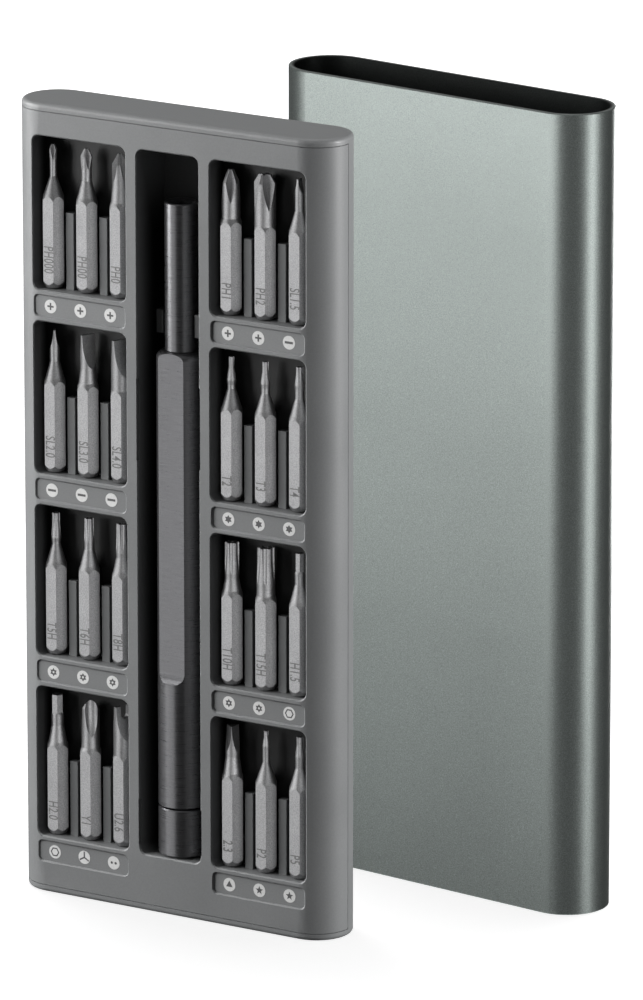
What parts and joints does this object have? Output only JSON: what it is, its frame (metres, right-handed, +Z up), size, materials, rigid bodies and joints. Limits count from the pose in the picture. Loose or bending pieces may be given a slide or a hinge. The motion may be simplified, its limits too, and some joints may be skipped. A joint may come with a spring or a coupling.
{
  "type": "precision screwdriver set",
  "caption": "Pocket screwdriver set: a thin tray with rows of small bits and a slim driver with a free-turning cap, and the flat metal sleeve it slides into.",
  "frame": {"origin": "middle of the footprint of the tray and sleeve together, on the surface they stand on", "axes": "+Z up the tray's height, -Y out of the tray's open front, +X across the tray towards the side that the sleeve stands behind"},
  "size_m": [0.1057, 0.062, 0.1592],
  "materials": {
    "tray_plastic": "satin",
    "sleeve_aluminium": "bead blasted and anodised grey",
    "driver_aluminium": "fine turned, anodised dark grey",
    "bit_steel": "satin",
    "bearing_steel": "ground",
    "magnet_plating": "nickel plated",
    "print_light": "printed",
    "print_dark": "printed"
  },
  "bodies": {
    "tray": {"tray_front_shell": "tray_plastic", "tray_back_shell": "tray_plastic", "bit_magnet_left_1": "magnet_plating", "bit_magnet_left_2": "magnet_plating", "bit_magnet_left_3": "magnet_plating", "bit_magnet_left_4": "magnet_plating", "bit_magnet_right_1": "magnet_plating", "bit_magnet_right_2": "magnet_plating", "bit_magnet_right_3": "magnet_plating", "bit_magnet_right_4": "magnet_plating"},
    "sleeve": {"sleeve": "sleeve_aluminium"},
    "driver": {"handle_body": "driver_aluminium", "bit_holder": "driver_aluminium", "socket_magnet": "magnet_plating", "bearing_inner_race": "bearing_steel", "cap_screw": "bearing_steel"},
    "cap": {"end_cap": "driver_aluminium", "cap_disc": "driver_aluminium", "bearing_outer_race": "bearing_steel", "bearing_balls": "bearing_steel"},
    "bit_cross_0": {"bit_cross_0": "bit_steel"},
    "bit_cross_00": {"bit_cross_00": "bit_steel"},
    "bit_cross_000": {"bit_cross_000": "bit_steel"},
    "bit_cross_1": {"bit_cross_1": "bit_steel"},
    "bit_cross_2": {"bit_cross_2": "bit_steel"},
    "bit_five_lobe_2": {"bit_five_lobe_2": "bit_steel"},
    "bit_five_lobe_5": {"bit_five_lobe_5": "bit_steel"},
    "bit_forked_2_6": {"bit_forked_2_6": "bit_steel"},
    "bit_hexagon_1_5": {"bit_hexagon_1_5": "bit_steel"},
    "bit_hexagon_2": {"bit_hexagon_2": "bit_steel"},
    "bit_slotted_1_5": {"bit_slotted_1_5": "bit_steel"},
    "bit_slotted_2": {"bit_slotted_2": "bit_steel"},
    "bit_slotted_3": {"bit_slotted_3": "bit_steel"},
    "bit_slotted_4": {"bit_slotted_4": "bit_steel"},
    "bit_star_10_pin": {"bit_star_10_pin": "bit_steel"},
    "bit_star_15_pin": {"bit_star_15_pin": "bit_steel"},
    "bit_star_2": {"bit_star_2": "bit_steel"},
    "bit_star_3": {"bit_star_3": "bit_steel"},
    "bit_star_4": {"bit_star_4": "bit_steel"},
    "bit_star_5_pin": {"bit_star_5_pin": "bit_steel"},
    "bit_star_6_pin": {"bit_star_6_pin": "bit_steel"},
    "bit_star_8_pin": {"bit_star_8_pin": "bit_steel"},
    "bit_three_wing_1": {"bit_three_wing_1": "bit_steel"},
    "bit_triangle_2_3": {"bit_triangle_2_3": "bit_steel"}
  },
  "joints": [
    {"name": "sleeve_slide", "type": "slide", "parent": "tray", "child": "sleeve", "axis": [0, 0, 1], "range_m": [0, 0.16]},
    {"name": "driver_lift", "type": "slide", "parent": "tray", "child": "driver", "axis": [0, -1, 0], "range_m": [0, 0.03]},
    {"name": "cap_spin", "type": "hinge", "parent": "driver", "child": "cap", "pos_m": [-0.01686, -0.02604, 0.0185], "axis": [0, 0, 1], "continuous": true},
    {"name": "bit_cross_0_lift", "type": "slide", "parent": "tray", "child": "bit_cross_0", "axis": [0, -1, 0], "range_m": [0, 0.018]},
    {"name": "bit_cross_00_lift", "type": "slide", "parent": "tray", "child": "bit_cross_00", "axis": [0, -1, 0], "range_m": [0, 0.018]},
    {"name": "bit_cross_000_lift", "type": "slide", "parent": "tray", "child": "bit_cross_000", "axis": [0, -1, 0], "range_m": [0, 0.018]},
    {"name": "bit_cross_1_lift", "type": "slide", "parent": "tray", "child": "bit_cross_1", "axis": [0, -1, 0], "range_m": [0, 0.018]},
    {"name": "bit_cross_2_lift", "type": "slide", "parent": "tray", "child": "bit_cross_2", "axis": [0, -1, 0], "range_m": [0, 0.018]},
    {"name": "bit_five_lobe_2_lift", "type": "slide", "parent": "tray", "child": "bit_five_lobe_2", "axis": [0, -1, 0], "range_m": [0, 0.018]},
    {"name": "bit_five_lobe_5_lift", "type": "slide", "parent": "tray", "child": "bit_five_lobe_5", "axis": [0, -1, 0], "range_m": [0, 0.018]},
    {"name": "bit_forked_2_6_lift", "type": "slide", "parent": "tray", "child": "bit_forked_2_6", "axis": [0, -1, 0], "range_m": [0, 0.018]},
    {"name": "bit_hexagon_1_5_lift", "type": "slide", "parent": "tray", "child": "bit_hexagon_1_5", "axis": [0, -1, 0], "range_m": [0, 0.018]},
    {"name": "bit_hexagon_2_lift", "type": "slide", "parent": "tray", "child": "bit_hexagon_2", "axis": [0, -1, 0], "range_m": [0, 0.018]},
    {"name": "bit_slotted_1_5_lift", "type": "slide", "parent": "tray", "child": "bit_slotted_1_5", "axis": [0, -1, 0], "range_m": [0, 0.018]},
    {"name": "bit_slotted_2_lift", "type": "slide", "parent": "tray", "child": "bit_slotted_2", "axis": [0, -1, 0], "range_m": [0, 0.018]},
    {"name": "bit_slotted_3_lift", "type": "slide", "parent": "tray", "child": "bit_slotted_3", "axis": [0, -1, 0], "range_m": [0, 0.018]},
    {"name": "bit_slotted_4_lift", "type": "slide", "parent": "tray", "child": "bit_slotted_4", "axis": [0, -1, 0], "range_m": [0, 0.018]},
    {"name": "bit_star_10_pin_lift", "type": "slide", "parent": "tray", "child": "bit_star_10_pin", "axis": [0, -1, 0], "range_m": [0, 0.018]},
    {"name": "bit_star_15_pin_lift", "type": "slide", "parent": "tray", "child": "bit_star_15_pin", "axis": [0, -1, 0], "range_m": [0, 0.018]},
    {"name": "bit_star_2_lift", "type": "slide", "parent": "tray", "child": "bit_star_2", "axis": [0, -1, 0], "range_m": [0, 0.018]},
    {"name": "bit_star_3_lift", "type": "slide", "parent": "tray", "child": "bit_star_3", "axis": [0, -1, 0], "range_m": [0, 0.018]},
    {"name": "bit_star_4_lift", "type": "slide", "parent": "tray", "child": "bit_star_4", "axis": [0, -1, 0], "range_m": [0, 0.018]},
    {"name": "bit_star_5_pin_lift", "type": "slide", "parent": "tray", "child": "bit_star_5_pin", "axis": [0, -1, 0], "range_m": [0, 0.018]},
    {"name": "bit_star_6_pin_lift", "type": "slide", "parent": "tray", "child": "bit_star_6_pin", "axis": [0, -1, 0], "range_m": [0, 0.018]},
    {"name": "bit_star_8_pin_lift", "type": "slide", "parent": "tray", "child": "bit_star_8_pin", "axis": [0, -1, 0], "range_m": [0, 0.018]},
    {"name": "bit_three_wing_1_lift", "type": "slide", "parent": "tray", "child": "bit_three_wing_1", "axis": [0, -1, 0], "range_m": [0, 0.018]},
    {"name": "bit_triangle_2_3_lift", "type": "slide", "parent": "tray", "child": "bit_triangle_2_3", "axis": [0, -1, 0], "range_m": [0, 0.018]}
  ]
}
